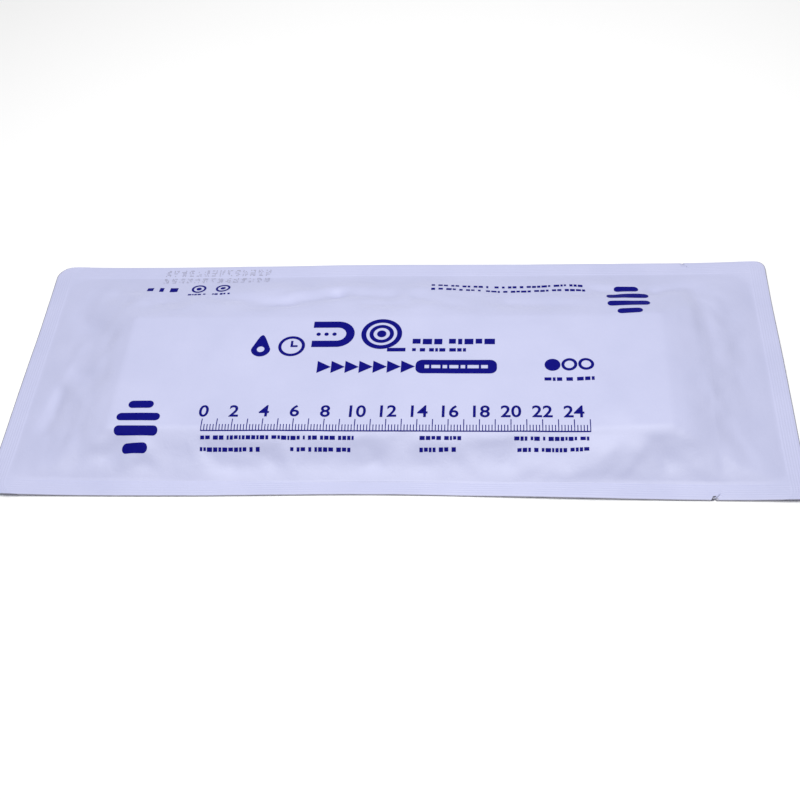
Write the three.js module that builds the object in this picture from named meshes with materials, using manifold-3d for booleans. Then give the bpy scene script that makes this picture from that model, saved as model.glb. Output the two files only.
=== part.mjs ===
// A padded casting splint, folded in half and heat-sealed between two sheets of laminate film.
// Millimetres, +Z up. X runs along the pouch and Y across it. The pouch lies on its back film at Z = 0,
// with the origin under the middle of its outline.
import * as THREE from "three";
import { mergeVertices } from "three/addons/utils/BufferGeometryUtils.js";
import Module from "manifold-3d";

const wasm = await Module();
wasm.setup();

// The splint is one flat padded slab, folded over itself near its middle.
const splintLength = 760; // unfolded, along the middle of its thickness
const splintWidth = 105;
const splintThickness = 8;
const splintEdgeRound = 3; // of its two long edges
const splintEndRound = 3.5; // of its two cut ends
const endRoundLimit = 0.45; // that round's largest share of the slab's thickness
const edgeRoundLimit = 0.9; // the long edges' largest share of the ends' round
const layerGap = 0.6; // between the two layers, away from the bend
const bendGap = 3; // the bend springs open this far
const bendRun = 45; // the upper layer sinks back to layerGap over this length
const layerStagger = 9; // the upper layer ends this far short of the lower one

// Room between the splint and the inner edges of the four seals.
const bendRoom = 60;
const endRoom = 51;
const frontRoom = 28;
const backRoom = 53;

// The film and its seals.
const sealWidth = 12;
const filmThickness = 0.5;
const layGap = 0.3; // left between pieces that lie on each other
const endCornerRadius = 12; // of the outline's corners beyond the splint's cut ends
const bendCornerRadius = 7; // of the outline's corners beyond the bend

// Tear notches in the two long seals, beyond the bend.
const notchFromEnd = 53;
const notchWidth = 3.2;
const notchDepth = 3;

// How the front film drapes over the splint.
const drapeMargin = 2.5; // it stays level this far past the splint's edges
const slopeSag = 0.35; // how much the slopes hang below a straight line
const hipSharpness = 7; // a higher number makes sharper hips at the splint's corners
const foldFade = 0.7; // a lower number carries the folds closer to the splint and the seals
const frontPull = 2.6; // the lifted film draws the middle of the front edge in
const frontPullReach = 0.4; // share of the half length over which that fades

// Steps that the round parts are drawn in.
const sealSteps = 4; // across each long seal, where the outline's corners are
const edgeRoundSteps = 3;
const arcSteps = 6; // on each arc of the splint's side outline

const bendOuterRadius = splintThickness + bendGap / 2;
const bendArc = (Math.PI * (splintThickness + bendGap)) / 2;
const lowerStraight = (splintLength - bendArc + layerStagger) / 2;
const pouchLength = bendOuterRadius + lowerStraight + bendRoom + endRoom + 2 * sealWidth;
const pouchWidth = splintWidth + frontRoom + backRoom + 2 * sealWidth;
const halfLength = pouchLength / 2;
const halfWidth = pouchWidth / 2;
const lowerEndX = -halfLength + sealWidth + endRoom;
const upperEndX = lowerEndX + layerStagger;
const bendMiddleX = lowerEndX + lowerStraight;
const bendEndX = bendMiddleX + bendOuterRadius;
const splintFrontY = -halfWidth + sealWidth + frontRoom;
const splintBackY = splintFrontY + splintWidth;
const splintBottomZ = filmThickness + layGap;
const stackHeight = 2 * splintThickness + layerGap;
const bendHeight = 2 * splintThickness + bendGap;

// Where the rim of the pouch stands off the surface. x and y are shares of the half length and half width,
// lift is a share of the folded splint's height, and spread is a share of the pouch's width.
const rimLifts = [
  { x: -1.0, y: 1.0, lift: 0.3, spread: 0.16 },
  { x: 1.0, y: 1.0, lift: 0.08, spread: 0.14 },
  { x: -1.0, y: -1.0, lift: 0.1, spread: 0.16 },
  { x: 1.0, y: -1.0, lift: 0.08, spread: 0.12 },
  { x: -0.1, y: 1.0, lift: 0.06, spread: 0.3 },
  { x: 0.45, y: -1.0, lift: 0.05, spread: 0.22 },
  { x: 1.0, y: 0.1, lift: 0.07, spread: 0.2 },
  { x: -1.0, y: -0.2, lift: 0.05, spread: 0.22 },
];

// Folds of the front film. Each runs straight between two points, given as shares of the half length and
// half width. rise is its height as a share of the folded splint's height, negative for a dent, and
// spread is its half breadth as a share of the pouch's width.
const folds = [
  // The long slope behind the splint.
  { fromX: -0.5, fromY: 0.6, toX: -0.3, toY: 0.53, rise: -0.14, spread: 0.03 },
  { fromX: -0.41, fromY: 0.47, toX: -0.17, toY: 0.63, rise: -0.2, spread: 0.028 },
  { fromX: -0.17, fromY: 0.63, toX: -0.02, toY: 0.62, rise: -0.18, spread: 0.026 },
  { fromX: -0.3, fromY: 0.68, toX: -0.08, toY: 0.75, rise: 0.1, spread: 0.028 },
  { fromX: -0.09, fromY: 0.5, toX: 0.02, toY: 0.49, rise: -0.12, spread: 0.024 },
  { fromX: 0.05, fromY: 0.59, toX: 0.2, toY: 0.43, rise: -0.17, spread: 0.03 },
  { fromX: 0.1, fromY: 0.7, toX: 0.26, toY: 0.6, rise: 0.12, spread: 0.028 },
  { fromX: 0.29, fromY: 0.52, toX: 0.48, toY: 0.47, rise: -0.15, spread: 0.03 },
  { fromX: 0.5, fromY: 0.71, toX: 0.61, toY: 0.56, rise: -0.18, spread: 0.026 },
  { fromX: 0.69, fromY: 0.66, toX: 0.77, toY: 0.74, rise: -0.14, spread: 0.024 },
  // The slope beyond the bend.
  { fromX: 0.8, fromY: 0.78, toX: 0.81, toY: 0.3, rise: -0.16, spread: 0.034 },
  { fromX: 0.77, fromY: 0.45, toX: 0.79, toY: -0.25, rise: 0.09, spread: 0.022 },
  { fromX: 0.87, fromY: 0.42, toX: 0.91, toY: 0.05, rise: -0.1, spread: 0.03 },
  { fromX: 0.82, fromY: -0.5, toX: 0.88, toY: -0.74, rise: -0.12, spread: 0.034 },
  { fromX: 0.89, fromY: -0.56, toX: 0.94, toY: -0.74, rise: -0.08, spread: 0.026 },
  { fromX: 0.62, fromY: -0.52, toX: 0.68, toY: -0.8, rise: -0.14, spread: 0.03 },
  // The slope beyond the two cut ends.
  { fromX: -0.88, fromY: -0.2, toX: -0.9, toY: -0.5, rise: -0.12, spread: 0.03 },
  { fromX: -0.87, fromY: -0.04, toX: -0.77, toY: -0.14, rise: -0.1, spread: 0.03 },
  { fromX: -0.91, fromY: 0.5, toX: -0.77, toY: 0.24, rise: -0.12, spread: 0.036 },
  { fromX: -0.82, fromY: 0.78, toX: -0.7, toY: 0.56, rise: 0.1, spread: 0.028 },
  { fromX: -0.75, fromY: -0.84, toX: -0.68, toY: -0.76, rise: 0.16, spread: 0.02 },
  { fromX: -0.78, fromY: -0.76, toX: -0.71, toY: -0.66, rise: -0.16, spread: 0.022 },
  // The short slope in front of the splint.
  { fromX: -0.46, fromY: -0.7, toX: -0.4, toY: -0.84, rise: -0.1, spread: 0.026 },
  { fromX: -0.26, fromY: -0.72, toX: -0.24, toY: -0.84, rise: 0.07, spread: 0.022 },
  { fromX: -0.05, fromY: -0.7, toX: -0.02, toY: -0.84, rise: -0.09, spread: 0.028 },
  { fromX: 0.3, fromY: -0.7, toX: 0.28, toY: -0.84, rise: -0.08, spread: 0.026 },
];

// The four slopes of the front film: which way each one falls, and where it starts and ends along that way.
const slopes = [
  { towardX: -1, towardY: 0, start: drapeMargin - upperEndX, end: halfLength - sealWidth },
  { towardX: 1, towardY: 0, start: drapeMargin + bendEndX, end: halfLength - sealWidth },
  { towardX: 0, towardY: -1, start: drapeMargin - splintFrontY, end: halfWidth - sealWidth },
  { towardX: 0, towardY: 1, start: drapeMargin + splintBackY, end: halfWidth - sealWidth },
];

function clamp(value, low, high) {
  return Math.min(high, Math.max(low, value));
}

function smoothStep(value) {
  const share = clamp(value, 0, 1);
  return share * share * (3 - 2 * share);
}

function distanceToSegment(x, y, fromX, fromY, toX, toY) {
  const alongX = toX - fromX;
  const alongY = toY - fromY;
  const share = ((x - fromX) * alongX + (y - fromY) * alongY) / (alongX ** 2 + alongY ** 2);
  const held = clamp(share, 0, 1);
  return Math.hypot(x - fromX - held * alongX, y - fromY - held * alongY);
}

// 1 on a fold's line or at a lift's middle, fading to nothing within about two spreads.
function nearness(distance, spread) {
  return Math.exp(-((distance / (spread * pouchWidth)) ** 2));
}

// Height of the folded splint's upper face over its underside, at a place along it.
function splintTop(x) {
  const share = smoothStep((x - bendMiddleX + bendRun) / bendRun);
  return stackHeight + (bendHeight - stackHeight) * share;
}

// 0 over the splint and 1 at the inner edge of the seals.
function slopeShare(x, y) {
  const total = slopes.reduce((sum, { towardX, towardY, start, end }) => {
    const share = (towardX * x + towardY * y - start) / (end - start);
    return sum + Math.max(0, share) ** hipSharpness;
  }, 0);
  return Math.min(1, total ** (1 / hipSharpness));
}

// Underside of the back film: flat on the surface below the splint, and a little off it round the rim.
function backUnderside(x, y) {
  const lift = rimLifts.reduce((sum, row) => {
    const distance = Math.hypot(x - row.x * halfLength, y - row.y * halfWidth);
    return sum + row.lift * nearness(distance, row.spread);
  }, 0);
  return lift * stackHeight * smoothStep(slopeShare(x, y));
}

function foldHeight(x, y) {
  const height = folds.reduce((sum, row) => {
    const distance = distanceToSegment(
      x,
      y,
      row.fromX * halfLength,
      row.fromY * halfWidth,
      row.toX * halfLength,
      row.toY * halfWidth,
    );
    return sum + row.rise * nearness(distance, row.spread);
  }, 0);
  return height * stackHeight;
}

// Underside of the front film: level over the splint, falling to the seals on all four sides.
function frontUnderside(x, y) {
  const share = slopeShare(x, y);
  const overSplint = splintTop(clamp(x, lowerEndX, bendEndX)) + layGap;
  const tent = overSplint * (1 - share) * (1 - slopeSag * share);
  const folded = Math.sin(Math.PI * share) ** foldFade * foldHeight(x, y);
  return backUnderside(x, y) + filmThickness + layGap + Math.max(0, tent + folded);
}

// Places from a start through a list of stretches, each cut into its own number of steps.
function placesThrough(start, stretches) {
  const places = [start];
  for (const { to, steps } of stretches) {
    const from = places[places.length - 1];
    for (let step = 1; step <= steps; step++) places.push(from + ((to - from) * step) / steps);
  }
  return places;
}

// Adds rows across both long seals, closer together at the rim, as the outline's round corners need.
function withSealRows(middleRows) {
  const toBack = [];
  for (let step = 1; step <= sealSteps; step++) {
    toBack.push(halfWidth - sealWidth * (1 - Math.sin((Math.PI / 2) * (step / sealSteps))));
  }
  const toFront = toBack.map((place) => -place).reverse();
  return [...toFront, ...middleRows, ...toBack];
}

// The outline's half length at a distance from its long middle line: shorter through its round corners.
function outlineHalfLength(y, cornerRadius) {
  const past = Math.max(0, Math.abs(y) - (halfWidth - cornerRadius));
  return halfLength - cornerRadius + Math.sqrt(Math.max(0, cornerRadius ** 2 - past ** 2));
}

// The front edge is drawn in at its middle, where the film climbs most steeply.
function drawnIn(x, y) {
  const across = smoothStep((splintFrontY - drapeMargin - y) / (frontRoom - drapeMargin + sealWidth));
  return y + frontPull * across * Math.exp(-((x / (frontPullReach * halfLength)) ** 2));
}

// One film as a closed sheet: a lower and an upper skin of points in rows and columns, and a rim.
function filmGeometry(columns, rows, underside) {
  const positions = [];
  for (const height of [0, filmThickness]) {
    for (const row of rows) {
      for (const column of columns) {
        const cornerRadius = column < 0 ? endCornerRadius : bendCornerRadius;
        const x = (column / halfLength) * outlineHalfLength(row, cornerRadius);
        const y = drawnIn(x, row);
        positions.push(x, y, underside(x, y) + height);
      }
    }
  }
  const skin = columns.length * rows.length;
  const at = (row, column) => row * columns.length + column;
  const lastRow = rows.length - 1;
  const lastColumn = columns.length - 1;
  const triangles = [];
  for (let row = 0; row < lastRow; row++) {
    for (let column = 0; column < lastColumn; column++) {
      const a = at(row, column);
      const b = at(row, column + 1);
      const c = at(row + 1, column + 1);
      const d = at(row + 1, column);
      triangles.push(a, c, b, a, d, c);
      triangles.push(skin + a, skin + b, skin + c, skin + a, skin + c, skin + d);
    }
  }
  const rim = [];
  for (let column = 0; column < lastColumn; column++) rim.push(at(0, column));
  for (let row = 0; row < lastRow; row++) rim.push(at(row, lastColumn));
  for (let column = lastColumn; column > 0; column--) rim.push(at(lastRow, column));
  for (let row = lastRow; row > 0; row--) rim.push(at(row, 0));
  rim.forEach((low, step) => {
    const next = rim[(step + 1) % rim.length];
    triangles.push(low, next, skin + next, low, skin + next, skin + low);
  });
  const geometry = new THREE.BufferGeometry();
  geometry.setAttribute("position", new THREE.Float32BufferAttribute(positions, 3));
  geometry.setIndex(triangles);
  return geometry;
}

function solidFrom(geometry) {
  const weldDistance = 1e-4;
  const bare = geometry.clone();
  bare.deleteAttribute("normal");
  bare.deleteAttribute("uv");
  const merged = mergeVertices(bare, weldDistance);
  return new wasm.Manifold(
    new wasm.Mesh({
      numProp: 3,
      vertProperties: new Float32Array(merged.attributes.position.array),
      triVerts: new Uint32Array(merged.index.array),
    }),
  );
}

function geometryFrom(solid) {
  const mesh = solid.getMesh();
  const geometry = new THREE.BufferGeometry();
  geometry.setAttribute("position", new THREE.BufferAttribute(mesh.vertProperties, 3));
  geometry.setIndex(new THREE.BufferAttribute(mesh.triVerts, 1));
  geometry.computeVertexNormals();
  return geometry;
}

// A three-sided cutter whose point reaches notchDepth into the film from one long edge.
function notchCutter(side) {
  const clear = notchDepth; // it starts this far outside the edge
  const breadth = (notchWidth * (notchDepth + clear)) / notchDepth;
  const height = 2 * stackHeight;
  const shape = new THREE.Shape();
  shape.moveTo(-breadth / 2, side * clear);
  shape.lineTo(breadth / 2, side * clear);
  shape.lineTo(0, -side * notchDepth);
  const geometry = new THREE.ExtrudeGeometry(shape, { depth: height, bevelEnabled: false });
  geometry.translate(halfLength - notchFromEnd, side * halfWidth, -height / 2);
  return solidFrom(geometry);
}

function notched(geometry) {
  let solid = solidFrom(geometry);
  for (const side of [-1, 1]) solid = solid.subtract(notchCutter(side));
  return geometryFrom(solid);
}

// Side outline of the folded splint, with its x along the pouch and its y up from the splint's underside.
function foldedOutline(round) {
  const bendMiddleZ = splintThickness + bendGap / 2;
  const upperBottom = splintThickness + layerGap;
  const bendTop = splintThickness + bendGap;
  const sinkX = bendMiddleX - bendRun;
  const ease = bendRun / 2; // how long the upper layer stays level at both ends of its sinking run
  const shape = new THREE.Shape();
  shape.moveTo(lowerEndX + round, 0);
  shape.lineTo(bendMiddleX, 0);
  shape.absarc(bendMiddleX, bendMiddleZ, bendOuterRadius, -Math.PI / 2, Math.PI / 2, false);
  shape.bezierCurveTo(bendMiddleX - ease, bendHeight, sinkX + ease, stackHeight, sinkX, stackHeight);
  shape.lineTo(upperEndX + round, stackHeight);
  shape.absarc(upperEndX + round, stackHeight - round, round, Math.PI / 2, Math.PI, false);
  shape.absarc(upperEndX + round, upperBottom + round, round, Math.PI, 1.5 * Math.PI, false);
  shape.lineTo(sinkX, upperBottom);
  shape.bezierCurveTo(sinkX + ease, upperBottom, bendMiddleX - ease, bendTop, bendMiddleX, bendTop);
  shape.absarc(bendMiddleX, bendMiddleZ, bendGap / 2, Math.PI / 2, -Math.PI / 2, true);
  shape.lineTo(lowerEndX + round, splintThickness);
  shape.absarc(lowerEndX + round, splintThickness - round, round, Math.PI / 2, Math.PI, false);
  shape.absarc(lowerEndX + round, round, round, Math.PI, 1.5 * Math.PI, false);
  return shape;
}

// The rounds of the ends stay under half the slab's thickness, and those of the edges under the ends'.
function foldedSplintGeometry() {
  const endRound = Math.min(splintEndRound, endRoundLimit * splintThickness);
  const edgeRound = Math.min(splintEdgeRound, edgeRoundLimit * endRound);
  const geometry = new THREE.ExtrudeGeometry(foldedOutline(endRound), {
    depth: splintWidth - 2 * edgeRound,
    bevelEnabled: true,
    bevelThickness: edgeRound,
    bevelSize: edgeRound,
    bevelOffset: -edgeRound,
    bevelSegments: edgeRoundSteps,
    curveSegments: arcSteps,
  });
  geometry.rotateX(Math.PI / 2);
  geometry.translate(0, splintBackY - edgeRound, splintBottomZ);
  return geometry;
}

// The grid lines of the films pass along the inner edges of the seals and the edges of the splint.
function frontFilmGeometry() {
  const columns = placesThrough(-halfLength, [
    { to: -halfLength + sealWidth, steps: 1 },
    { to: upperEndX - drapeMargin, steps: 7 },
    { to: bendMiddleX - bendRun, steps: 31 },
    { to: bendEndX + drapeMargin, steps: 6 },
    { to: halfLength - sealWidth, steps: 8 },
    { to: halfLength, steps: 1 },
  ]);
  const middleRows = placesThrough(-halfWidth + sealWidth, [
    { to: splintFrontY - drapeMargin, steps: 5 },
    { to: splintBackY + drapeMargin, steps: 10 },
    { to: halfWidth - sealWidth, steps: 10 },
  ]);
  return filmGeometry(columns, withSealRows(middleRows), frontUnderside);
}

function backFilmGeometry() {
  const columns = placesThrough(-halfLength, [
    { to: -halfLength + sealWidth, steps: 1 },
    { to: lowerEndX, steps: 4 },
    { to: bendEndX, steps: 14 },
    { to: halfLength - sealWidth, steps: 4 },
    { to: halfLength, steps: 1 },
  ]);
  const middleRows = placesThrough(-halfWidth + sealWidth, [
    { to: splintFrontY, steps: 2 },
    { to: splintBackY, steps: 3 },
    { to: halfWidth - sealWidth, steps: 4 },
  ]);
  return filmGeometry(columns, withSealRows(middleRows), backUnderside);
}

function namedMesh(name, geometry, material) {
  const mesh = new THREE.Mesh(geometry, material);
  mesh.name = name;
  return mesh;
}

const filmMaterial = new THREE.MeshStandardMaterial({ color: 0xc8cae8, roughness: 0.42, metalness: 0 });
const paddingMaterial = new THREE.MeshStandardMaterial({ color: 0xf1f0ec, roughness: 0.95, metalness: 0 });

const pouch = new THREE.Group();
pouch.add(namedMesh("back_film", notched(backFilmGeometry()), filmMaterial));
pouch.add(namedMesh("front_film", notched(frontFilmGeometry()), filmMaterial));
pouch.add(namedMesh("folded_splint", foldedSplintGeometry(), paddingMaterial));

export default pouch;
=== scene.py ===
import math
import random

import bmesh
import bpy
import numpy as np
from mathutils import Matrix, Vector, noise


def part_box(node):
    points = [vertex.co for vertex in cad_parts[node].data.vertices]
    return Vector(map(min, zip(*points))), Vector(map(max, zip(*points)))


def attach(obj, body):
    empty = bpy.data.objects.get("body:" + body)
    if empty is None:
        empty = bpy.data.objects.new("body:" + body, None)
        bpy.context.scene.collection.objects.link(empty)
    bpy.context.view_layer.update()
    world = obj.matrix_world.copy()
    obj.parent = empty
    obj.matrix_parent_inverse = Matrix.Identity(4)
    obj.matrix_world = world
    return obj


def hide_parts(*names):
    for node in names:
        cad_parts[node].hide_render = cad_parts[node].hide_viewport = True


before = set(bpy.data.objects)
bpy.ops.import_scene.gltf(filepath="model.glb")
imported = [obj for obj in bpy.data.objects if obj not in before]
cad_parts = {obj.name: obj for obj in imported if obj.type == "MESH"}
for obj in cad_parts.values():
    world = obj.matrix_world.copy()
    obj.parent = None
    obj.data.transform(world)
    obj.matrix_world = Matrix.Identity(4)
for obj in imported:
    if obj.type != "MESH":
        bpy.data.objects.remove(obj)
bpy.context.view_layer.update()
mm = 0.001  # sizes below are written in millimetres times this
print("frame loaded")

filmLow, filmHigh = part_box("front_film")
splintLow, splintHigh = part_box("folded_splint")
halfLength = filmHigh.x
halfWidth = filmHigh.y

pouch = {
    "sealWidth": 12 * mm,
    "endCornerRadius": 12 * mm,  # beyond the splint's cut ends
    "bendCornerRadius": 7 * mm,
    "notchFromEnd": 53 * mm,
    "notchWidth": 3.2 * mm,
    "notchDepth": 3 * mm,
    "notchPoints": 5,  # grid columns across a notch
    "notchRoom": 1.5,  # other columns keep off it by this many half widths
    "filmThickness": 0.3 * mm,
    "weldGap": 0.09 * mm,  # between the two films in the seals
    "frontPull": 2.6 * mm,  # the middle of the front edge is drawn in this far
    "frontPullReach": 0.4,  # share of the half length over which that fades
    "outlineCells": 1,  # cells along both ends and the front edge that take the dark grey edge finish, a thin dark outline
    "rimWave": 0.45 * mm,  # how much the seals ripple
    "rimWaveScale": 24,
    "rimWaveSeed": 3.0,
}

splint = {
    "thickness": 8 * mm,
    "layerGap": 0.6 * mm,
    "bendGap": 3 * mm,
    "bendRun": 45 * mm,
    "layerStagger": 9 * mm,
    "edgeRound": 3.8 * mm,
    "endRound": 3.5 * mm,
    "feltLumps": 0.12 * mm,
    "feltLumpScale": 160,
    "cornerSteps": 6,
    "sinkSteps": 12,
    "bendSteps": 20,
    "innerBendSteps": 10,
    "upperPlaces": 50,  # along the upper layer
    "lowerPlaces": 60,
    "edgePlaces": 6,  # round a long edge
    "widthPlaces": 26,
}

drape = {
    "margin": 2.5 * mm,  # the film stays level this far past the splint
    "sag": 0.35,
    "hipSharpness": 7,
    "foldFade": 0.7,
    "clearance": 0.2 * mm,  # between the splint and the film over it
    "softening": 2.3 * mm,
    "softenings": 6,
    "foldSoftening": 1.6 * mm,
    "shoulderFall": 1.3,  # how steeply the film may fall past the splint's edge
    "easing": 0.6 * mm,  # how softly the film leaves the splint
    "landing": 0.6,  # from this slope share on, the film eases down to the plain tent
    "topLumps": 0.35 * mm,
    "topLumpScale": 26,
    "topLumpSeed": 5.0,
    "topLumpFade": 3,
    "slopeLumps": 0.9 * mm,
    "slopeLumpScale": 38,
    "slopeLumpSeed": 9.0,
}

ribs = {
    "pitch": 1.7 * mm,
    "height": 0.16 * mm,
    "margin": 1.2 * mm,  # plain strip along both sides of a seal
    "crossing": 1.4,  # the most, in heights, where ribs cross
    "fineStep": 0.42 * mm,
    "middleStep": 2.3 * mm,
}

# Rim lifts: place as shares of the half length and half width.
rimLifts = [
    {"x": -1.0, "y": 1.0, "lift": 1.4 * mm, "spread": 34 * mm},
    {"x": 1.0, "y": 1.0, "lift": 1.3 * mm, "spread": 29 * mm},
    {"x": -1.0, "y": -1.0, "lift": 1.7 * mm, "spread": 34 * mm},
    {"x": 1.0, "y": -1.0, "lift": 1.3 * mm, "spread": 25 * mm},
    {"x": -0.1, "y": 1.0, "lift": 1.0 * mm, "spread": 63 * mm},
    {"x": 0.45, "y": -1.0, "lift": 0.8 * mm, "spread": 46 * mm},
    {"x": 1.0, "y": 0.1, "lift": 1.2 * mm, "spread": 42 * mm},
    {"x": -1.0, "y": -0.2, "lift": 0.8 * mm, "spread": 46 * mm},
]

# Folds: a line between two places given as shares, its rise (negative for a dent) and its half breadth.
folds = [
    # the long slope behind the splint
    {"line": (-0.50, 0.60, -0.30, 0.53), "rise": -2.4 * mm, "spread": 6.0 * mm},
    {"line": (-0.41, 0.47, -0.17, 0.63), "rise": -2.6 * mm, "spread": 5.6 * mm},
    {"line": (-0.17, 0.63, -0.02, 0.62), "rise": -2.2 * mm, "spread": 5.4 * mm},
    {"line": (-0.30, 0.68, -0.08, 0.75), "rise": 0.3 * mm, "spread": 5.5 * mm},
    {"line": (-0.09, 0.50, 0.02, 0.49), "rise": -2.1 * mm, "spread": 4.5 * mm},
    {"line": (0.05, 0.59, 0.20, 0.43), "rise": -2.2 * mm, "spread": 5.8 * mm},
    {"line": (0.10, 0.70, 0.26, 0.60), "rise": 0.5 * mm, "spread": 5.5 * mm},
    {"line": (0.29, 0.52, 0.48, 0.47), "rise": -2.1 * mm, "spread": 5.8 * mm},
    {"line": (0.50, 0.76, 0.58, 0.62), "rise": -1.6 * mm, "spread": 5.0 * mm},
    {"line": (0.69, 0.66, 0.77, 0.74), "rise": -2.4 * mm, "spread": 4.6 * mm},
    # the slope beyond the bend
    {"line": (0.80, 0.78, 0.81, 0.30), "rise": -1.7 * mm, "spread": 6.6 * mm},
    {"line": (0.77, 0.45, 0.79, -0.25), "rise": 0.9 * mm, "spread": 4.2 * mm},
    {"line": (0.87, 0.42, 0.91, 0.05), "rise": -1.3 * mm, "spread": 6.0 * mm},
    {"line": (0.82, -0.50, 0.88, -0.74), "rise": -1.3 * mm, "spread": 6.6 * mm},
    {"line": (0.89, -0.56, 0.94, -0.74), "rise": -1.0 * mm, "spread": 5.2 * mm},
    {"line": (0.62, -0.52, 0.68, -0.80), "rise": -1.5 * mm, "spread": 6.0 * mm},
    # the slope beyond the two cut ends
    {"line": (-0.88, -0.20, -0.90, -0.50), "rise": -2.1 * mm, "spread": 6.0 * mm},
    {"line": (-0.87, -0.04, -0.77, -0.14), "rise": -1.8 * mm, "spread": 6.0 * mm},
    {"line": (-0.91, 0.50, -0.77, 0.24), "rise": -2.1 * mm, "spread": 7.0 * mm},
    {"line": (-0.82, 0.78, -0.70, 0.56), "rise": 1.8 * mm, "spread": 5.5 * mm},
    {"line": (-0.66, -0.79, -0.61, -0.71), "rise": 1.6 * mm, "spread": 4.6 * mm},
    {"line": (-0.71, -0.74, -0.67, -0.67), "rise": -1.6 * mm, "spread": 4.8 * mm},
    # the short slope in front of the splint
    {"line": (-0.46, -0.70, -0.40, -0.84), "rise": -1.0 * mm, "spread": 5.2 * mm},
    {"line": (-0.26, -0.72, -0.24, -0.84), "rise": 0.8 * mm, "spread": 4.4 * mm},
    {"line": (-0.05, -0.70, -0.02, -0.84), "rise": -0.9 * mm, "spread": 5.6 * mm},
    {"line": (0.30, -0.70, 0.28, -0.84), "rise": -0.8 * mm, "spread": 5.2 * mm},
]

stackHeight = 2 * splint["thickness"] + splint["layerGap"]
bendHeight = 2 * splint["thickness"] + splint["bendGap"]
bendRadius = splint["thickness"] + splint["bendGap"] / 2
bendMiddleX = splintHigh.x - bendRadius
upperEndX = splintLow.x + splint["layerStagger"]


def selectOnly(*pieces):
    bpy.ops.object.select_all(action="DESELECT")
    for piece in pieces:
        piece.select_set(True)
    bpy.context.view_layer.objects.active = pieces[0]


def applyModifier(piece, kind, **settings):
    modifier = piece.modifiers.new(kind.lower(), kind)
    for key, value in settings.items():
        setattr(modifier, key, value)
    selectOnly(piece)
    bpy.ops.object.modifier_apply(modifier=modifier.name)


# Camera, light and floor

cameraSet = {
    "sensorWidth": 36,
    "focal": 54.1,
    "elevation": 49.7,
    "azimuth": 7.41,
    "roll": -5.63,
    "distance": 806 * mm,
    "target": (4.2 * mm, -24 * mm, 0),
}


def makeCamera():
    elevation, azimuth, roll = (math.radians(cameraSet[key]) for key in ("elevation", "azimuth", "roll"))
    back = Vector((
        math.sin(azimuth) * math.cos(elevation),
        -math.cos(azimuth) * math.cos(elevation),
        math.sin(elevation),
    ))
    level = Vector((math.cos(azimuth), math.sin(azimuth), 0))
    up = back.cross(level)
    right = level * math.cos(roll) + up * math.sin(roll)
    turn = Matrix((right, back.cross(right), back)).transposed().to_4x4()
    place = Vector(cameraSet["target"]) + back * cameraSet["distance"]
    data = bpy.data.cameras.new("camera")
    data.lens = cameraSet["focal"]
    data.sensor_width = cameraSet["sensorWidth"]
    camera = bpy.data.objects.new("camera", data)
    bpy.context.scene.collection.objects.link(camera)
    camera.matrix_world = Matrix.Translation(place) @ turn
    bpy.context.scene.camera = camera
    print("camera placed")


lamps = {
    "overhead": {"size": 1.0, "power": 13.6, "place": (0.0, -0.05, 1.1)},
    "behind": {"size": 1.2, "power": 1.5, "place": (0.1, 1.3, 1.1)},
}
room = {"brightness": 0.3, "floorSize": 8.0, "floorDrop": 0.1 * mm}


def makeLight():
    for name, row in lamps.items():
        data = bpy.data.lights.new(name, "AREA")
        data.size = row["size"]
        data.energy = row["power"]
        lamp = bpy.data.objects.new(name, data)
        bpy.context.scene.collection.objects.link(lamp)
        place = Vector(row["place"])
        aim = (-place).to_track_quat("-Z", "Y")
        lamp.matrix_world = Matrix.Translation(place) @ aim.to_matrix().to_4x4()
    world = bpy.data.worlds.new("studio")
    bpy.context.scene.world = world
    world.use_nodes = True
    background = world.node_tree.nodes["Background"]
    background.inputs["Color"].default_value = (1, 1, 1, 1)
    background.inputs["Strength"].default_value = room["brightness"]
    bpy.context.scene.view_settings.view_transform = "Standard"
    print("light set")


# Materials


class Wire:
    def __init__(self, finish, socket):
        self.finish = finish
        self.socket = socket

    def __add__(self, other):
        return self.finish.sums("ADD", self, other)

    def __radd__(self, other):
        return self.finish.sums("ADD", other, self)

    def __mul__(self, other):
        return self.finish.sums("MULTIPLY", self, other)

    def __rmul__(self, other):
        return self.finish.sums("MULTIPLY", other, self)


class Finish:
    def __init__(self, name, color, roughness, **fixed):
        self.material = bpy.data.materials.new(name)
        self.material.use_nodes = True
        self.tree = self.material.node_tree
        self.shader = self.tree.nodes["Principled BSDF"]
        self.shader.inputs["Base Color"].default_value = (*color, 1)
        self.shader.inputs["Roughness"].default_value = roughness
        for key, value in fixed.items():
            self.shader.inputs[key].default_value = value

    def node(self, kind, settings=None, sockets=None, output=0):
        made = self.tree.nodes.new(kind)
        for key, value in (settings or {}).items():
            setattr(made, key, value)
        for key, value in (sockets or {}).items():
            self.feed(made.inputs[key], value)
        return Wire(self, made.outputs[output])

    def feed(self, socket, value):
        if isinstance(value, Wire):
            self.tree.links.new(value.socket, socket)
        else:
            socket.default_value = value

    def sums(self, operation, first, second):
        return self.node("ShaderNodeMath", {"operation": operation}, {0: first, 1: second})

    def place(self):
        return self.node("ShaderNodeTexCoord", output="Object")

    def cloud(self, scale, detail=2.0, distortion=0.0):
        sockets = {"Vector": self.place(), "Scale": scale, "Detail": detail, "Distortion": distortion}
        return self.node("ShaderNodeTexNoise", sockets=sockets)

    def colour(self, first, second, share):
        mix = {"data_type": "RGBA"}
        sockets = {"Factor": share, 6: (*first, 1), 7: (*second, 1)}
        return self.node("ShaderNodeMix", mix, sockets, output=2)

    def bump(self, height, distance, strength=1.0):
        sockets = {"Height": height, "Distance": distance, "Strength": strength}
        return self.node("ShaderNodeBump", sockets=sockets)

    def use(self, socket, value):
        self.feed(self.shader.inputs[socket], value)


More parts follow.
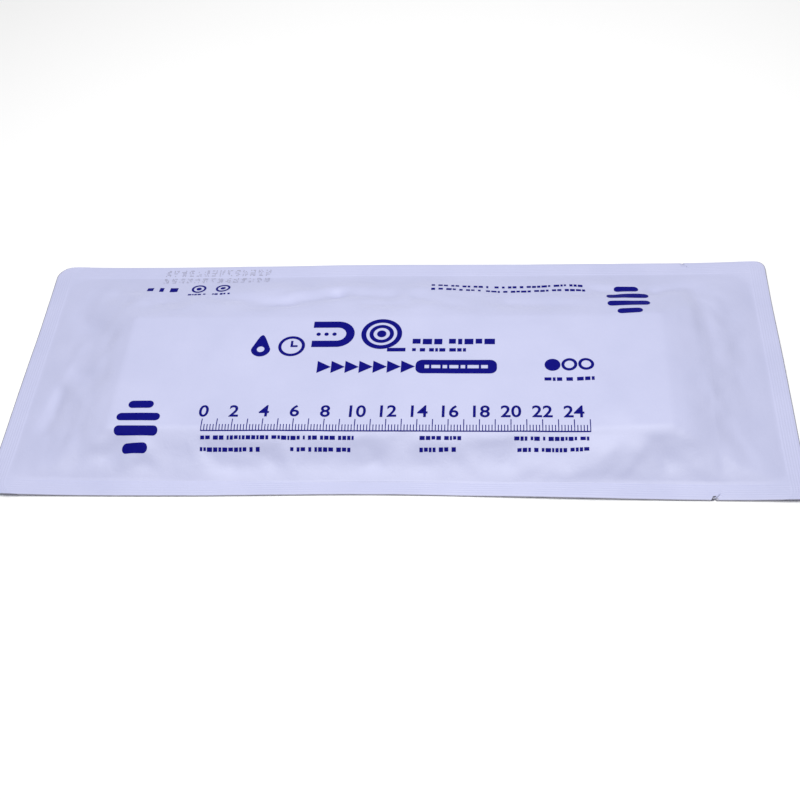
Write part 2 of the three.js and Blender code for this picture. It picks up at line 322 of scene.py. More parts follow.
filmLook = {
    "plain": (0.60, 0.62, 0.86),
    "plainRoughness": 0.4,
    "dark": (0.465, 0.485, 0.69),
    "light": (0.54, 0.555, 0.765),
    "mottle": (26, 3),  # clouds: scale, detail and distortion
    "grain": (900, 2),
    "crinkle": (140, 4, 1.2),
    "sheen": (60, 3),
    "roughness": 0.34,
    "roughnessSpread": 0.14,
    "grainShare": 0.25,
    "relief": 0.12 * mm,
}
edgeLook = {
    "plain": (0.22, 0.22, 0.26),
    "dark": (0.2, 0.2, 0.26),
    "light": (0.4, 0.4, 0.48),
    "mottle": (60, 2),
    "roughness": 0.45,
    "metallic": 0.4,
}
inkLook = {
    "plain": (0.002, 0.002, 0.16),
    "plainRoughness": 0.5,
    "dark": (0.001, 0.001, 0.14),
    "light": (0.004, 0.004, 0.2),
    "blot": (500, 3),
    "roughness": 0.45,
    "roughnessSpread": 0.14,
    "specular": 0.05,
}
codeLook = {
    "plain": (0.3, 0.3, 0.4),
    "dark": (0.24, 0.24, 0.34),
    "light": (0.4, 0.4, 0.52),
    "blot": (700, 2),
    "roughness": 0.5,
}
feltLook = {
    "plain": (0.88, 0.87, 0.84),
    "dark": (0.82, 0.81, 0.77),
    "light": (0.93, 0.92, 0.9),
    "mottle": (90, 4),
    "fibre": (1100, 4, 2.5),
    "roughness": 0.95,
    "relief": 0.25 * mm,
}
floorLook = {"plain": (0.95, 0.95, 0.95), "roughness": 0.9}


def filmFinish():
    film = Finish("lavenderFilm", filmLook["plain"], filmLook["plainRoughness"])
    mottle, grain, crinkle = (film.cloud(*filmLook[key]) for key in ("mottle", "grain", "crinkle"))
    film.use("Base Color", film.colour(filmLook["dark"], filmLook["light"], mottle))
    sheen = film.cloud(*filmLook["sheen"])
    film.use("Roughness", filmLook["roughness"] + filmLook["roughnessSpread"] * sheen)
    film.use("Normal", film.bump(filmLook["grainShare"] * grain + crinkle, filmLook["relief"]))
    return film.material


def edgeFinish():
    edge = Finish("cutFilmEdge", edgeLook["plain"], edgeLook["roughness"], Metallic=edgeLook["metallic"])
    edge.use("Base Color", edge.colour(edgeLook["dark"], edgeLook["light"], edge.cloud(*edgeLook["mottle"])))
    return edge.material


def inkFinish():
    fixed = {"Specular IOR Level": inkLook["specular"]}
    navy = Finish("navyInk", inkLook["plain"], inkLook["plainRoughness"], **fixed)
    blot = navy.cloud(*inkLook["blot"])
    navy.use("Base Color", navy.colour(inkLook["dark"], inkLook["light"], blot))
    navy.use("Roughness", inkLook["roughness"] + inkLook["roughnessSpread"] * blot)
    return navy.material


def codeFinish():
    code = Finish("greyInk", codeLook["plain"], codeLook["roughness"])
    code.use("Base Color", code.colour(codeLook["dark"], codeLook["light"], code.cloud(*codeLook["blot"])))
    return code.material


def feltFinish():
    felt = Finish("whiteFelt", feltLook["plain"], feltLook["roughness"])
    fibre = felt.cloud(*feltLook["fibre"])
    felt.use("Base Color", felt.colour(feltLook["dark"], feltLook["light"], felt.cloud(*feltLook["mottle"])))
    felt.use("Normal", felt.bump(fibre, feltLook["relief"]))
    return felt.material


def floorFinish():
    return Finish("paleFloor", floorLook["plain"], floorLook["roughness"]).material


# The shape of the pouch


def smoothStep(value):
    share = np.clip(value, 0, 1)
    return share * share * (3 - 2 * share)


def distanceToLine(x, y, line):
    x0, y0, x1, y1 = (share * half for share, half in zip(line, (halfLength, halfWidth) * 2))
    alongX = x1 - x0
    alongY = y1 - y0
    share = np.clip(((x - x0) * alongX + (y - y0) * alongY) / (alongX**2 + alongY**2), 0, 1)
    return np.hypot(x - x0 - share * alongX, y - y0 - share * alongY)


def cloudOver(x, y, scale, seed):
    falloff, finer, octaves = 1.0, 2.0, 3
    return np.array([
        noise.fractal(Vector((a * scale, b * scale, seed)), falloff, finer, octaves)
        for a, b in zip(x.ravel(), y.ravel())
    ]).reshape(x.shape)


def splintTop(x):
    share = smoothStep((x - bendMiddleX + splint["bendRun"]) / splint["bendRun"])
    return stackHeight + (bendHeight - stackHeight) * share


def slopeShare(x, y):
    margin = drape["margin"]
    sides = (
        (-x, margin - upperEndX, halfLength),
        (x, margin + splintHigh.x, halfLength),
        (-y, margin - splintLow.y, halfWidth),
        (y, margin + splintHigh.y, halfWidth),
    )
    total = sum(
        np.maximum(0, (along - start) / (end - pouch["sealWidth"] - start)) ** drape["hipSharpness"]
        for along, start, end in sides
    )
    return np.minimum(1, total ** (1 / drape["hipSharpness"]))


def gridPlaces(half):
    seal = pouch["sealWidth"]
    fine = round(seal / ribs["fineStep"])
    middle = round(2 * (half - seal) / ribs["middleStep"])
    return np.concatenate([
        np.linspace(-half, seal - half, fine, endpoint=False),
        np.linspace(seal - half, half - seal, middle, endpoint=False),
        np.linspace(half - seal, half, fine + 1),
    ])


def notchColumns(columns):
    middle = halfLength - pouch["notchFromEnd"]
    reach = pouch["notchWidth"] / 2
    kept = columns[np.abs(columns - middle) > pouch["notchRoom"] * reach]
    return np.sort(np.concatenate([kept, middle + reach * np.linspace(-1, 1, pouch["notchPoints"])]))


def sheetGrid(columnPlaces, rowPlaces):
    columns, rows = np.meshgrid(columnPlaces, rowPlaces)
    radius = np.where(columns < 0, pouch["endCornerRadius"], pouch["bendCornerRadius"])
    past = np.maximum(0, np.abs(rows) - halfWidth + radius)
    x = columns / halfLength * (halfLength - radius + np.sqrt(np.maximum(0, radius**2 - past**2)))
    fromNotch = np.abs(columns - halfLength + pouch["notchFromEnd"]) / (pouch["notchWidth"] / 2)
    cut = pouch["notchDepth"] * np.maximum(0, 1 - fromNotch)
    inSeal = np.maximum(0, np.abs(rows) - halfWidth + pouch["sealWidth"]) / pouch["sealWidth"]
    y = rows - np.sign(rows) * cut * inSeal
    start = splintLow.y - drape["margin"]
    pull = smoothStep((start - rows) / (start + halfWidth))
    y = y + pouch["frontPull"] * pull * np.exp(-((x / (pouch["frontPullReach"] * halfLength)) ** 2))
    return columns, rows, x, y


def fineGrid():
    return sheetGrid(notchColumns(gridPlaces(halfLength)), gridPlaces(halfWidth))


def sealRibs(columns, rows):
    height = 0
    for inward in (halfLength - np.abs(columns), halfWidth - np.abs(rows)):
        along = inward - ribs["margin"]
        run = pouch["sealWidth"] - 2 * ribs["margin"]
        ridge = 0.5 - 0.5 * np.cos(2 * math.pi * along / ribs["pitch"])
        height = height + np.where((along > 0) & (along < run), ridge, 0)
    return ribs["height"] * np.minimum(height, ribs["crossing"])


def rimHeight(x, y, share):
    lift = sum(
        row["lift"]
        * np.exp(-(np.hypot(x - row["x"] * halfLength, y - row["y"] * halfWidth) / row["spread"]) ** 2)
        for row in rimLifts
    )
    ripple = np.clip(cloudOver(x, y, pouch["rimWaveScale"], pouch["rimWaveSeed"]), -1, 1)
    return smoothStep(share) * (lift + pouch["rimWave"] * (0.5 + 0.5 * ripple))


crinkles = {
    "seed": 11,
    "count": 130,
    "length": (10 * mm, 42 * mm),
    "rise": (0.3 * mm, 1.1 * mm),
    "spread": (1.6 * mm, 4.0 * mm),
    "ridge": 0.5 * mm,  # how round the top of a crinkle is
    "between": (0.1, 0.95),  # slope shares
    "wander": 0.5,  # radians off its slope's own direction
}


def crinkleRows():
    dice = random.Random(crinkles["seed"])
    rows = []
    while len(rows) < crinkles["count"]:
        x = dice.uniform(-1, 1) * halfLength
        y = dice.uniform(-1, 1) * halfWidth
        share = float(slopeShare(np.array(x), np.array(y)))
        if not crinkles["between"][0] < share < crinkles["between"][1]:
            continue
        besideEnd = max(upperEndX - x, x - splintHigh.x) > 0
        lie = math.pi / 2 if besideEnd else 0.0  # most run along their slope
        angle = lie + dice.gauss(0, crinkles["wander"])
        reach = dice.uniform(*crinkles["length"]) / 2
        dx, dy = reach * math.cos(angle), reach * math.sin(angle)
        start = (x - dx) / halfLength, (y - dy) / halfWidth
        end = (x + dx) / halfLength, (y + dy) / halfWidth
        rise = dice.uniform(*crinkles["rise"]) * dice.choice((-1, 1))
        rows.append({"line": start + end, "rise": rise, "spread": dice.uniform(*crinkles["spread"])})
    return rows


def foldHeight(x, y):
    return sum(
        row["rise"] * np.exp(-((distanceToLine(x, y, row["line"]) / row["spread"]) ** 2)) for row in folds
    )


def crinkleHeight(x, y):
    height = 0
    for row in crinkleRows():
        distance = np.sqrt(distanceToLine(x, y, row["line"]) ** 2 + crinkles["ridge"] ** 2)
        height = height + row["rise"] * np.exp(-distance / row["spread"])
    return height


def blurWeights(places, reach):
    near = np.exp(-0.5 * ((places[:, None] - places) / reach) ** 2) * np.gradient(places)
    return near / near.sum(axis=1, keepdims=True)


def blur(height, rowPlaces, columnPlaces, reach):
    return blurWeights(rowPlaces, reach) @ height @ blurWeights(columnPlaces, reach).T


def settle(height, lowest, rowPlaces, columnPlaces, reach, passes):
    for _ in range(passes):
        height = np.maximum(blur(height, rowPlaces, columnPlaces, reach), lowest)
    return height


def stackTop(x):
    return splintLow.z + splintTop(np.clip(x, splintLow.x, splintHigh.x)) + drape["clearance"]


def stackRoof(x, y):
    pastBend = np.clip(x - bendMiddleX, 0, bendRadius)
    roof = stackTop(x) - bendRadius + np.sqrt(bendRadius**2 - pastBend**2)
    alongX = np.minimum(x - upperEndX, splintHigh.x - x)
    inside = np.minimum(alongX, np.minimum(y - splintLow.y, splintHigh.y - y))
    rounding = splint["edgeRound"]
    nearEdge = np.clip(rounding - inside, 0, rounding)
    outside = np.maximum(0, -inside)
    return roof - rounding + np.sqrt(rounding**2 - nearEdge**2) - drape["shoulderFall"] * outside


def sealedLevel(rim):
    return rim + pouch["filmThickness"] + pouch["weldGap"]


def tentHeight(x, share):
    return (stackTop(x) - sealedLevel(0)) * (1 - share) * (1 - drape["sag"] * share)


def smallLumps(x, y, share):
    free = np.sin(math.pi * share) ** drape["foldFade"]
    wavy = drape["slopeLumps"] * cloudOver(x, y, drape["slopeLumpScale"], drape["slopeLumpSeed"])
    lumps = free * (foldHeight(x, y) + crinkleHeight(x, y) + wavy)
    top = np.maximum(0, cloudOver(x, y, drape["topLumpScale"], drape["topLumpSeed"]))
    return lumps + drape["topLumps"] * (1 - smoothStep(drape["topLumpFade"] * share)) * top


# The film's own drape: a little too much film, pinned at its seals and laid over the splint

slack = {
    "step": 3 * mm,
    "frames": 26,
    "spare": 0.014,  # share by which the film is larger than the tent
    "gravity": 0.15,
    "air": 0.15,  # pressure of the air sealed in
    "stiffness": 25,
    "bending": 1.5,
    "quality": 6,
    "sideways": 0.7 * mm,  # the most that a point may slide
    "deepest": 0.9 * mm,  # sink below the tent
    "highest": 3.2 * mm,  # and rise above it
    "softening": 1.6 * mm,
    "pinnedFrom": 0.97,  # slope share
    "skin": 1.9 * mm,  # both collision distances together
}


def joinWeights(wanted, first, step, count):
    place = np.clip((wanted - first) / step, 0, count - 1.000001)  # just short of the last point
    base = np.floor(place).astype(int)
    t = place - base
    shares = (  # of the four nearest points, for a smooth cubic
        -0.5 * t + t**2 - 0.5 * t**3,
        1 - 2.5 * t**2 + 1.5 * t**3,
        0.5 * t + 2 * t**2 - 1.5 * t**3,
        -0.5 * t**2 + 0.5 * t**3,
    )
    weights = np.zeros((len(wanted), count))
    for offset, share in zip((-1, 0, 1, 2), shares):
        np.add.at(weights, (np.arange(len(wanted)), np.clip(base + offset, 0, count - 1)), share)
    return weights


def slackMoves(splintPiece):
    counts = [round(2 * half / slack["step"]) + 1 for half in (halfWidth, halfLength)]
    rowPlaces = np.linspace(-halfWidth, halfWidth, counts[0])
    columnPlaces = np.linspace(-halfLength, halfLength, counts[1])
    x, y = sheetGrid(columnPlaces, rowPlaces)[2:]
    share = slopeShare(x, y)
    under = sealedLevel(rimHeight(x, y, share)) + tentHeight(x, share)
    before = np.stack([x, y, under], axis=-1)
    sheet = sheetMesh("slackSheet", *np.moveaxis(before, -1, 0))
    pins = sheet.vertex_groups.new(name="seals")
    pins.add([int(k) for k in np.flatnonzero(share.ravel() >= slack["pinnedFrom"])], 1, "REPLACE")

    collider = splintPiece.copy()
    collider.data = splintPiece.data.copy()
    bpy.context.scene.collection.objects.link(collider)
    collider.data.transform(Matrix.Translation((0, 0, -slack["skin"])))
    collider.modifiers.new("collision", "COLLISION")
    collider.collision.thickness_outer = slack["skin"] / 2

    cloth = sheet.modifiers.new("cloth", "CLOTH")
    cloth.settings.quality = slack["quality"]
    cloth.settings.vertex_group_mass = "seals"
    cloth.settings.tension_stiffness = slack["stiffness"]
    cloth.settings.compression_stiffness = slack["stiffness"]
    cloth.settings.shear_stiffness = slack["stiffness"]
    cloth.settings.bending_stiffness = slack["bending"]
    cloth.settings.shrink_min = -slack["spare"]
    cloth.settings.use_pressure = True
    cloth.settings.uniform_pressure_force = slack["air"]
    cloth.settings.effector_weights.gravity = slack["gravity"]
    cloth.collision_settings.distance_min = slack["skin"] / 2
    cloth.point_cache.frame_end = slack["frames"]
    for step in range(1, slack["frames"] + 1):
        bpy.context.scene.frame_set(step)
    settled = sheet.evaluated_get(bpy.context.evaluated_depsgraph_get())
    after = np.empty(before.size)
    settled.data.vertices.foreach_get("co", after)
    moves = after.reshape(before.shape) - before
    print("film drape moved up to", round(float(np.abs(moves).max()) / mm, 2), "mm")
    mostUpOrDown = np.where(moves[..., 2] < 0, slack["deepest"], slack["highest"])
    most = (slack["sideways"], slack["sideways"], mostUpOrDown)
    capped = [limit * np.tanh(moves[..., k] / limit) for k, limit in enumerate(most)]
    moves = np.stack([blur(move, rowPlaces, columnPlaces, slack["softening"]) for move in capped], axis=-1)
    for helper in (sheet, collider):
        bpy.data.objects.remove(helper, do_unlink=True)
    bpy.context.scene.frame_set(1)
    return moves, rowPlaces, columnPlaces


def spreadMoves(moves, rowPlaces, columnPlaces, columns, rows):
    alongRows, alongColumns = (
        joinWeights(wanted, places[0], places[1] - places[0], len(places))
        for wanted, places in ((rows[:, 0], rowPlaces), (columns[0], columnPlaces))
    )
    return np.einsum("ar,rck,bc->kab", alongRows, moves, alongColumns, optimize=True)


def sheetMesh(name, x, y, z):
    high, wide = x.shape
    points = np.stack([x, y, z], axis=-1).reshape(-1, 3)
    corner = (np.arange(high - 1)[:, None] * wide + np.arange(wide - 1)).ravel()
    faces = np.stack([corner, corner + 1, corner + wide + 1, corner + wide], axis=-1)
    mesh = bpy.data.meshes.new(name)
    mesh.from_pydata(points.tolist(), [], faces.tolist())
    column, row = corner % wide, corner // wide
    # the outermost cells at both ends and along the front edge take the dark grey edge finish, drawing a thin
    # dark outline on the film's top
    outline = (column < pouch["outlineCells"]) | (column > wide - 2 - pouch["outlineCells"]) | (row == 0)
    mesh.polygons.foreach_set("material_index", outline.astype(np.int32))
    piece = bpy.data.objects.new(name, mesh)
    bpy.context.scene.collection.objects.link(piece)
    mesh.shade_smooth()
    return piece


def frontHeights(columns, rows, x, y, splintPiece):
    share = slopeShare(x, y)
    rim = rimHeight(x, y, share)
    tent = tentHeight(x, share)
    settled = tent
    moveX, moveY, moveZ = spreadMoves(*slackMoves(splintPiece), columns, rows)
    x, y, settled = x + moveX, y + moveY, tent + moveZ
    lowest = stackRoof(x, y) - sealedLevel(rim)
    places = rows[:, 0], columns[0]
    raised = settle(settled, lowest, *places, drape["softening"], drape["softenings"])
    raised = settle(raised + smallLumps(x, y, share), lowest, *places, drape["foldSoftening"], 1)
    held = (raised + lowest + np.hypot(raised - lowest, drape["easing"])) / 2  # a rounded maximum
    landed = smoothStep((share - drape["landing"]) / (1 - drape["landing"]))
    return x, y, sealedLevel(rim) + held * (1 - landed) + tent * landed


def makeFilms(splintPiece, finishes):
    columns, rows, x, y = fineGrid()
    wall = sealRibs(columns, rows) + pouch["filmThickness"]
    drapedX, drapedY, under = frontHeights(columns, rows, x, y, splintPiece)
    front = sheetMesh("frontFilm", drapedX, drapedY, under + wall)
    print("front film", len(front.data.vertices), "points")

    back = sheetMesh("backFilm", x, y, rimHeight(x, y, slopeShare(x, y)) + wall)
    for film in (front, back):
        for finish in finishes:
            film.data.materials.append(finish)
        applyModifier(film, "SOLIDIFY", thickness=pouch["filmThickness"], offset=-1, material_offset_rim=1)
    print("back film", len(back.data.vertices), "points")
    return front, back


# The splint


def arc(middleX, middleZ, radius, start, end, steps):
    angles = np.radians(np.linspace(start, end, steps + 1))
    return [(middleX + radius * math.cos(a), middleZ + radius * math.sin(a)) for a in angles]


def foldedProfile():
    thick, gap, rounding = splint["thickness"], splint["layerGap"], splint["endRound"]
    corner, run = splint["cornerSteps"], splint["bendRun"]
    lowX, highX, bottom = splintLow.x + rounding, upperEndX + rounding, 0.0
    sinkX = bendMiddleX - run
    sinking = np.linspace(0, 1, splint["sinkSteps"] + 1)[1:-1]
    widening = splint["bendGap"] - gap
    upper = [(bendMiddleX - run * s, bendHeight - widening * float(smoothStep(s))) for s in sinking]
    lower = [(sinkX + run * s, thick + gap + widening * float(smoothStep(s))) for s in sinking]
    bendMiddle = bendMiddleX, thick + splint["bendGap"] / 2
    points = arc(lowX, rounding, rounding, 180, 270, corner)
    points += [(x, bottom) for x in np.linspace(lowX, bendMiddleX, splint["lowerPlaces"])[1:-1]]
    points += arc(*bendMiddle, bendRadius, -90, 90, splint["bendSteps"])
    points += upper
    points += [(x, stackHeight) for x in np.linspace(sinkX, highX, splint["upperPlaces"])[:-1]]
    points += arc(highX, stackHeight - rounding, rounding, 90, 180, corner)
    points += arc(highX, thick + gap + rounding, rounding, 180, 270, corner)
    points += [(x, thick + gap) for x in np.linspace(highX, sinkX, splint["upperPlaces"])[1:]]
    points += lower
    points += arc(*bendMiddle, splint["bendGap"] / 2, 90, -90, splint["innerBendSteps"])
    points += [(x, thick) for x in np.linspace(bendMiddleX, lowX, splint["lowerPlaces"])[1:-1]]
    points += arc(lowX, thick - rounding, rounding, 90, 180, corner)[:-1]
    return np.array(points)


def inwards(points):
    along = np.roll(points, -1, axis=0) - np.roll(points, 1, axis=0)
    along = along / np.linalg.norm(along, axis=1)[:, None]
    return np.stack([-along[:, 1], along[:, 0]], axis=1)


def makeSplint(finish):
    profile = foldedProfile()
    towards = inwards(profile)
    rounding = splint["edgeRound"]
    turn = np.radians(np.linspace(0, 90, splint["edgePlaces"]))
    ends = [(splintLow.y + rounding * (1 - math.cos(a)), rounding * (1 - math.sin(a))) for a in turn]
    inner = np.linspace(splintLow.y + rounding, splintHigh.y - rounding, splint["widthPlaces"])[1:-1]
    middle = [(y, 0.0) for y in inner]
    mirrored = [(splintLow.y + splintHigh.y - y, inset) for y, inset in reversed(ends)]
    stations = ends + middle + mirrored
    points = []
    for y, inset in stations:
        for (x, z), (dx, dz) in zip(profile, towards):
            lump = splint["feltLumps"] * noise.noise(Vector((x, y, z)) * splint["feltLumpScale"])
            sunk = inset + max(0, lump)
            points.append((x + dx * sunk, y, splintLow.z + z + dz * sunk))
    count = len(profile)
    faces = [list(range(count)), [(len(stations) - 1) * count + k for k in reversed(range(count))]]
    for ring in range(len(stations) - 1):
        for k in range(count):
            after = (k + 1) % count
            low, high = ring * count, (ring + 1) * count
            faces.append([low + k, high + k, high + after, low + after])
    mesh = bpy.data.meshes.new("foldedSplint")
    mesh.from_pydata(points, [], faces)
    piece = bpy.data.objects.new("foldedSplint", mesh)
    bpy.context.scene.collection.objects.link(piece)
    mesh.materials.append(finish)
    selectOnly(piece)
    bpy.ops.object.mode_set(mode="EDIT")
    bpy.ops.mesh.select_all(action="SELECT")
    bpy.ops.mesh.normals_make_consistent(inside=False)
    bpy.ops.object.mode_set(mode="OBJECT")
    mesh.shade_smooth()
    print("splint", len(mesh.vertices), "points")
    return piece


# The generic print. Its places are in millimetres from the middle of the pouch.

ink = {
    "cell": 1.5 * mm,  # cut this fine, so that it follows the film
    "nearness": 0.001 * mm,  # points this close to a cut lie on it
    "above": 0.1 * mm,
    "thickness": 0.05 * mm,
    "startHeight": 40 * mm,
    "seed": 5,
}

wordRows = [
    {"y": -68.4, "height": 2.3, "spans": ((-122, -21.5), (20, 46.5), (80, 128))},
    {"y": -74.6, "height": 2.3, "spans": ((-122, -82), (-63, -22), (20, 45), (82, 128))},
    {"y": 77.8, "height": 2.7, "spans": ((22, 64), (67, 131))},
    {"y": 71.6, "height": 2.7, "spans": ((22, 58), (61, 131))},
    {"y": -21.5, "height": 3.0, "spans": ((100, 134),)},
    {"y": 12.2, "height": 5.0, "spans": ((12, 71),)},
    {"y": 4.6, "height": 3.0, "spans": ((12, 52),)},
    {"y": 77.0, "height": 5.2, "spans": ((-187, -162),)},
    {"y": 69.4, "height": 1.8, "spans": ((-155, -142), (-137, -124))},
]

words = {  # in dash heights
    "shortest": 0.5,
    "widths": (0.55, 1.5),
    "shifts": (0, 0, 0.12),
    "gaps": (0.3, 0.3, 0.9),
}

ruler = {
    "startX": -122,
    "numerals": 13,
    "numeralPitch": 20,
    "numeralSize": 13.5,
    "numeralY": -53.5,
    "boldness": 0.22,
    "baseY": -64.6,
    "baseHeight": 0.7,
    "ticks": 126,
    "tickPitch": 2,
    "tickWidth": 0.6,
    "tickHeight": 4.0,
    "longTick": 8.5,
    "longEvery": 5,
}

rings = [  # x, y, outer radius, hole
    (-9.5, 19.5, 14, 10.6), (-9.5, 19.5, 8.4, 5.6), (-9.5, 19.5, 3.2, 0),
    (-70.5, 8.5, 9.2, 7.0),
    (105.5, -9, 5.2, 0), (116.5, -9, 5.2, 3.2), (127.5, -9, 5.2, 3.2),
    (-148.5, 77.6, 5.4, 3.8), (-148.5, 77.6, 1.9, 0), (-130.5, 77.6, 5.4, 3.8), (-130.5, 77.6, 1.9, 0),
    (-53, 19.5, 1.5, 0), (-47.5, 19.5, 1.5, 0), (-42, 19.5, 1.5, 0),
]

ornaments = {
    "middles": ((-165, -59), (159.5, 56)),
    "lengths": (17, 29, 29, 17),
    "height": 6.2,
    "pitch": 10.4,
    "rounding": 3.0,
}

bars = [  # x and y of two corners
    (-5, 3.2, 7.5, 6.4),  # the loose end of the roll
    (-57, 25.6, -40, 31.4), (-57, 7.6, -40, 13.4),  # the two runs of the folded slab
    (-71.3, 7.7, -69.7, 13.4), (-69.7, 7.7, -66.4, 9.3),  # the hands of the clock
]

arrows = {"startX": -48, "pitch": 9.4, "count": 7, "y": -10.5, "radius": 6.2}
slabBend = {"x": -40, "y": 19.5, "radius": 11.9, "hole": 6.1, "turn": 7.5}
drop = {"x": -91.5, "y": 5.6, "radius": 6.6, "tip": 13.2, "hole": 2.6, "turn": 9, "narrowing": 0.25}
pill = {
    "corners": (15, -16.5, 69, -4.5),
    "rounding": 4.5,
    "hollowY": (-12, -9),  # whole cells, as the hollow dashes below
    "hollowX": ((21, 24), (25.5, 31.5), (33, 36), (37.5, 43.5), (45, 48), (49.5, 57), (58.5, 63)),
}
codeDots = {
    "startX": -177,
    "rowsY": (89.6, 98.2),
    "signs": 14,
    "signPitch": 5.8,
    "columns": 4,
    "dotRows": 5,
    "dotPitchX": 0.95,
    "dotPitchY": 1.35,
    "radius": 0.42,
    "sides": 8,
    "inked": 0.55,  # share of the dots that are there
    "seed": 21,
}


def startFlat(name):
    bpy.ops.object.select_all(action="DESELECT")
    bpy.ops.mesh.primitive_plane_add(size=mm)
    piece = bpy.context.object
    piece.name = name
    bpy.ops.object.mode_set(mode="EDIT")
    bpy.ops.mesh.delete(type="VERT")
    return piece


def addBar(x0, y0, x1, y1, rounding=0):
    bpy.ops.mesh.select_all(action="DESELECT")
    middle = ((x0 + x1) / 2 * mm, (y0 + y1) / 2 * mm, 0)
    bpy.ops.mesh.primitive_plane_add(size=mm, location=middle)
    bpy.ops.transform.resize(value=(x1 - x0, y1 - y0, 1), center_override=middle)
    if rounding:
        bpy.ops.mesh.bevel(affect="VERTICES", offset=rounding * mm, segments=6)


def addRing(x, y, radius, hole, sides=48):
    bpy.ops.mesh.select_all(action="DESELECT")
    bpy.ops.mesh.primitive_circle_add(
        vertices=sides, radius=radius * mm, fill_type="NGON", location=(x * mm, y * mm, 0)
    )
    if hole:
        bpy.ops.mesh.inset(thickness=(radius - hole) * mm)
        bpy.ops.mesh.delete(type="FACE")


def addBand(piece, outer, inner, closed):
    flat = bmesh.from_edit_mesh(piece.data)
    outside = [flat.verts.new((x * mm, y * mm, 0)) for x, y in outer]
    inside = [flat.verts.new((x * mm, y * mm, 0)) for x, y in inner]
    for k in range(len(outer) if closed else len(outer) - 1):
        after = (k + 1) % len(outer)
        flat.faces.new((outside[k], outside[after], inside[after], inside[k]))
    bmesh.update_edit_mesh(piece.data)


def addBend(piece, x, y, radius, hole, turn):
    turns = [math.radians(turn * k - 90) for k in range(round(180 / turn) + 1)]
    outer, inner = ([(x + r * math.cos(a), y + r * math.sin(a)) for a in turns] for r in (radius, hole))
    addBand(piece, outer, inner, closed=False)


def addDrop(piece, x, y, radius, tip, hole, turn, narrowing):
    turns = [math.radians(turn * k) for k in range(round(360 / turn))]
    inner = [(x + hole * math.cos(a), y + hole * math.sin(a)) for a in turns]
    outer = []
    for a in turns:
        rise = max(0, math.sin(a))
        width = radius * math.cos(a) * (1 - narrowing * rise)
        outer.append((x + width, y + radius * math.sin(a) + (tip - radius) * rise**3))
    addBand(piece, outer, inner, closed=True)


def addOrnaments():
    middle = (len(ornaments["lengths"]) - 1) / 2
    for x, y in ornaments["middles"]:
        for k, length in enumerate(ornaments["lengths"]):
            low = y + (k - middle) * ornaments["pitch"] - ornaments["height"] / 2
            addBar(x - length / 2, low, x + length / 2, low + ornaments["height"], ornaments["rounding"])


def addWords():
    dice = random.Random(ink["seed"])
    for row in wordRows:
        height = row["height"]
        for start, end in row["spans"]:
            x = start
            while x + words["shortest"] * height < end:
                width = min(dice.uniform(*words["widths"]) * height, end - x)
                shift = dice.choice(words["shifts"]) * height
                addBar(x, row["y"] - height / 2 + shift, x + width, row["y"] + height / 2)
                x += width + dice.choice(words["gaps"]) * height


def addRuler():
    end = ruler["startX"] + (ruler["ticks"] - 1) * ruler["tickPitch"]
    half = ruler["tickWidth"] / 2
    top = ruler["baseY"] + ruler["baseHeight"]
    addBar(ruler["startX"] - half, ruler["baseY"], end + half, top)
    for k in range(ruler["ticks"]):
        x = ruler["startX"] + k * ruler["tickPitch"]
        height = ruler["tickHeight"] if k % ruler["longEvery"] else ruler["longTick"]
        addBar(x - half, top, x + half, top + height)


def addNumerals(piece):
    numerals = []
    for k in range(ruler["numerals"]):
        x = ruler["startX"] + k * ruler["numeralPitch"]
        bpy.ops.object.select_all(action="DESELECT")
        bpy.ops.object.text_add(location=(x * mm, ruler["numeralY"] * mm, 0))
        numeral = bpy.context.object
        numeral.data.body = str(2 * k)
        numeral.data.size = ruler["numeralSize"]
        numeral.data.offset = ruler["boldness"]
        numeral.data.align_x = "CENTER"
        numeral.data.resolution_u = 4
        numeral.scale = (mm, mm, mm)
        bpy.ops.object.convert(target="MESH")
        bpy.ops.object.transform_apply()
        numerals.append(bpy.context.object)
    selectOnly(piece, *numerals)
    bpy.ops.object.join()


def cutIntoCells(piece):
    flat = bmesh.new()
    flat.from_mesh(piece.data)
    places = np.array([point.co for point in flat.verts])
    for axis in range(2):
        first = math.floor(places[:, axis].min() / ink["cell"]) + 1
        last = math.ceil(places[:, axis].max() / ink["cell"])
        across = [1 - axis, axis, 0]
        for k in range(first, last):
            everything = flat.verts[:] + flat.edges[:] + flat.faces[:]
            place = [k * ink["cell"] * share for share in across]
            bmesh.ops.bisect_plane(
                flat, geom=everything, dist=ink["nearness"], plane_co=place, plane_no=across
            )
    hollow = []
    for face in flat.faces:
        middle = face.calc_center_median() / mm
        inRow = pill["hollowY"][0] < middle.y < pill["hollowY"][1]
        if inRow and any(start < middle.x < end for start, end in pill["hollowX"]):
            hollow.append(face)
    bmesh.ops.delete(flat, geom=hollow, context="FACES")
    flat.normal_update()
    bmesh.ops.reverse_faces(flat, faces=[face for face in flat.faces if face.normal.z < 0])
    bmesh.ops.translate(flat, verts=flat.verts[:], vec=(0, 0, ink["startHeight"]))
    flat.to_mesh(piece.data)
    flat.free()


def layOnFilm(piece, film, finish):
    cutIntoCells(piece)
    applyModifier(
        piece, "SHRINKWRAP", target=film, wrap_method="PROJECT", use_project_z=True,
        use_negative_direction=True, use_positive_direction=False,
    )
    bpy.ops.object.mode_set(mode="EDIT")
    bpy.ops.mesh.select_all(action="SELECT")
    bpy.ops.transform.translate(value=(0, 0, ink["above"]))
    bpy.ops.object.mode_set(mode="OBJECT")
    applyModifier(piece, "SOLIDIFY", thickness=ink["thickness"], offset=1)
    piece.data.materials.clear()
    piece.data.materials.append(finish)
    print(piece.name, len(piece.data.polygons), "faces")


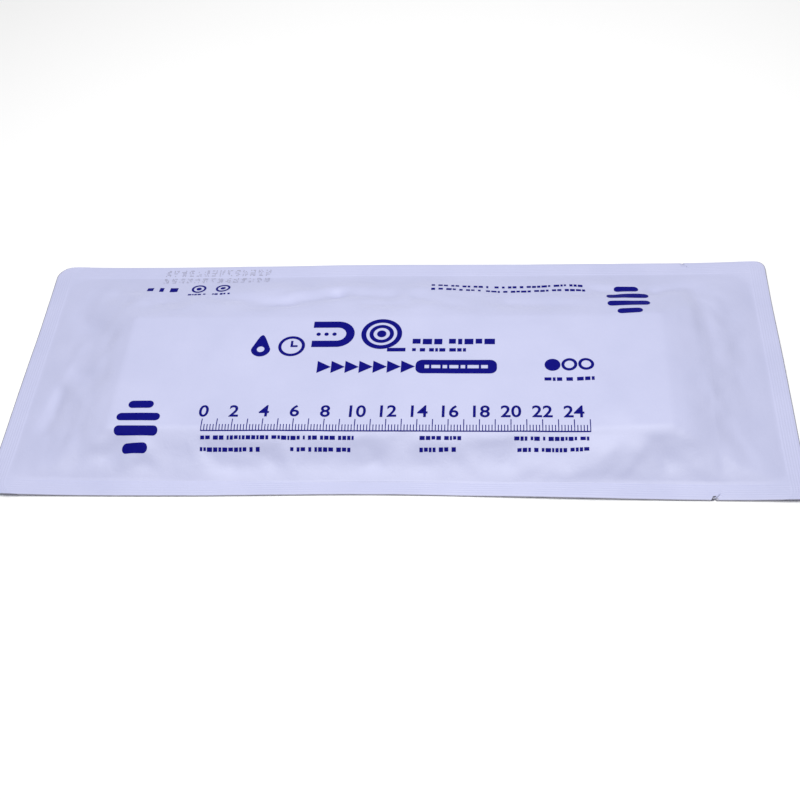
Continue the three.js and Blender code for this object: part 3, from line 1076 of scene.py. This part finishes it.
def makePrint(film, finish):
    piece = startFlat("navyPrint")
    for row in rings:
        addRing(*row)
    for row in bars:
        addBar(*row)
    for k in range(arrows["count"]):
        bpy.ops.mesh.select_all(action="DESELECT")
        place = ((arrows["startX"] + k * arrows["pitch"]) * mm, arrows["y"] * mm, 0)
        bpy.ops.mesh.primitive_circle_add(
            vertices=3, radius=arrows["radius"] * mm, fill_type="NGON",
            location=place, rotation=(0, 0, -math.pi / 2),
        )
    addBend(piece, **slabBend)
    addDrop(piece, **drop)
    addBar(*pill["corners"], pill["rounding"])
    addOrnaments()
    addWords()
    addRuler()
    bpy.ops.object.mode_set(mode="OBJECT")
    addNumerals(piece)
    layOnFilm(piece, film, finish)
    return piece


def makeCode(film, finish):
    piece = startFlat("codeDots")
    dice = random.Random(codeDots["seed"])
    middleRow = (codeDots["dotRows"] - 1) / 2
    for middleY in codeDots["rowsY"]:
        for sign in range(codeDots["signs"]):
            for column in range(codeDots["columns"]):
                for row in range(codeDots["dotRows"]):
                    if dice.random() < codeDots["inked"]:
                        x = codeDots["startX"] + sign * codeDots["signPitch"] + column * codeDots["dotPitchX"]
                        y = middleY + (row - middleRow) * codeDots["dotPitchY"]
                        addRing(x, y, codeDots["radius"], 0, codeDots["sides"])
    bpy.ops.object.mode_set(mode="OBJECT")
    layOnFilm(piece, film, finish)
    return piece


def makeFloor(finish):
    bpy.ops.object.select_all(action="DESELECT")
    bpy.ops.mesh.primitive_plane_add(size=room["floorSize"], location=(0, 0, -room["floorDrop"]))
    floor = bpy.context.object
    floor.name = "floor"
    floor.data.materials.append(finish)
    print("floor laid")


makeCamera()
makeLight()
makeFloor(floorFinish())
foldedSplint = makeSplint(feltFinish())
frontFilm, backFilm = makeFilms(foldedSplint, (filmFinish(), edgeFinish()))
navyPrint = makePrint(frontFilm, inkFinish())
codePrint = makeCode(frontFilm, codeFinish())

for piece, node, slotName in (
    (frontFilm, "front_film", "film"),
    (backFilm, "back_film", "film"),
    (foldedSplint, "folded_splint", "padding"),
):
    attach(piece, "root")
    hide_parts(node)
for piece in (navyPrint, codePrint):
    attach(piece, "root")
